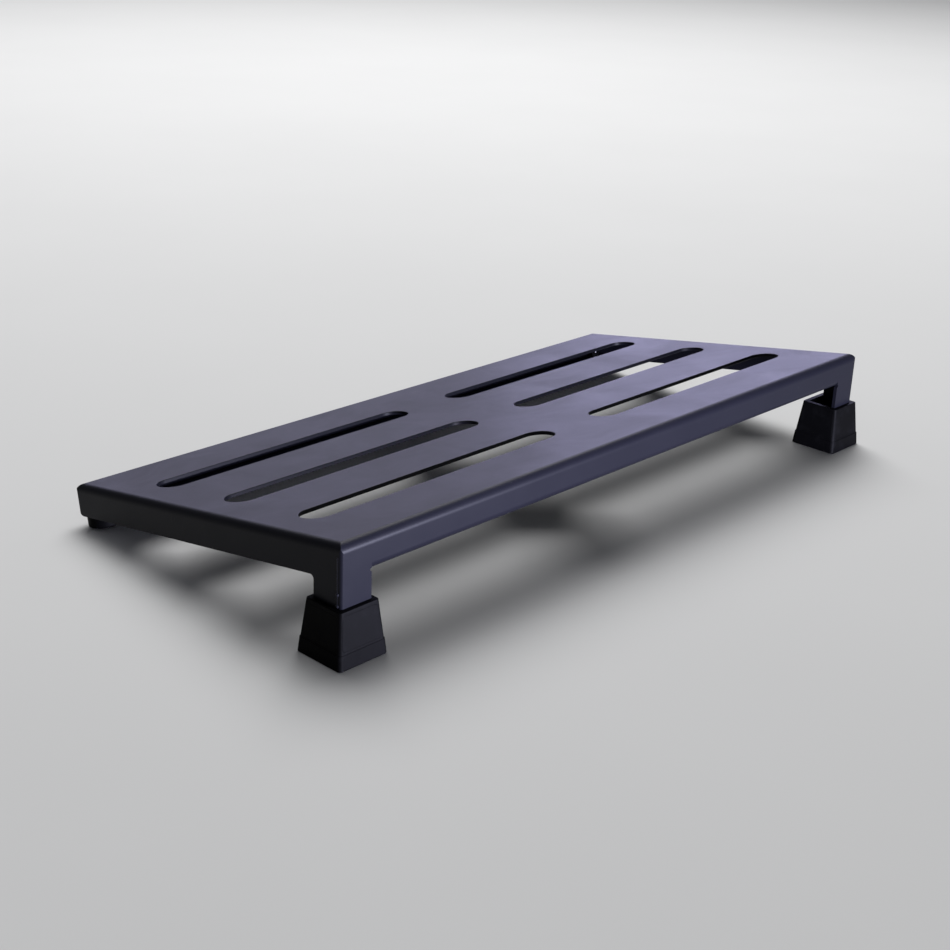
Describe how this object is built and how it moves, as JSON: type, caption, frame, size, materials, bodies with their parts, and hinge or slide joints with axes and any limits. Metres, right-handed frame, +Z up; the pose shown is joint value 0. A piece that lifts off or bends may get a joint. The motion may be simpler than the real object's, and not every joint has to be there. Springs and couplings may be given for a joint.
{
  "type": "pedalboard",
  "caption": "Low sloping pedalboard folded from sheet metal, with long cable slots, angle legs in rubber tips under the high side and rubber pucks under the low side.",
  "frame": {"origin": "centre of the footprint, on the floor the board stands on", "axes": "+X along the long side, -Y towards the high side with the legs, +Z up"},
  "size_m": [0.6162, 0.3026, 0.0826],
  "materials": {
    "deck_paint": "black satin powder coat, smooth, slightly scratched",
    "painted_weld": "black powder coat over a weld bead",
    "tip_rubber": "moulded matt rubber",
    "puck_rubber": "moulded matt rubber",
    "zinc_steel": "black zinc plated"
  },
  "bodies": {
    "root": {"deck": "deck_paint", "corner_welds": "painted_weld", "leg_tip_left": "tip_rubber", "leg_tip_right": "tip_rubber", "puck_left": "puck_rubber", "puck_right": "puck_rubber", "puck_screws": "zinc_steel", "puck_washers": "zinc_steel", "puck_nuts": "zinc_steel"}
  },
  "joints": []
}
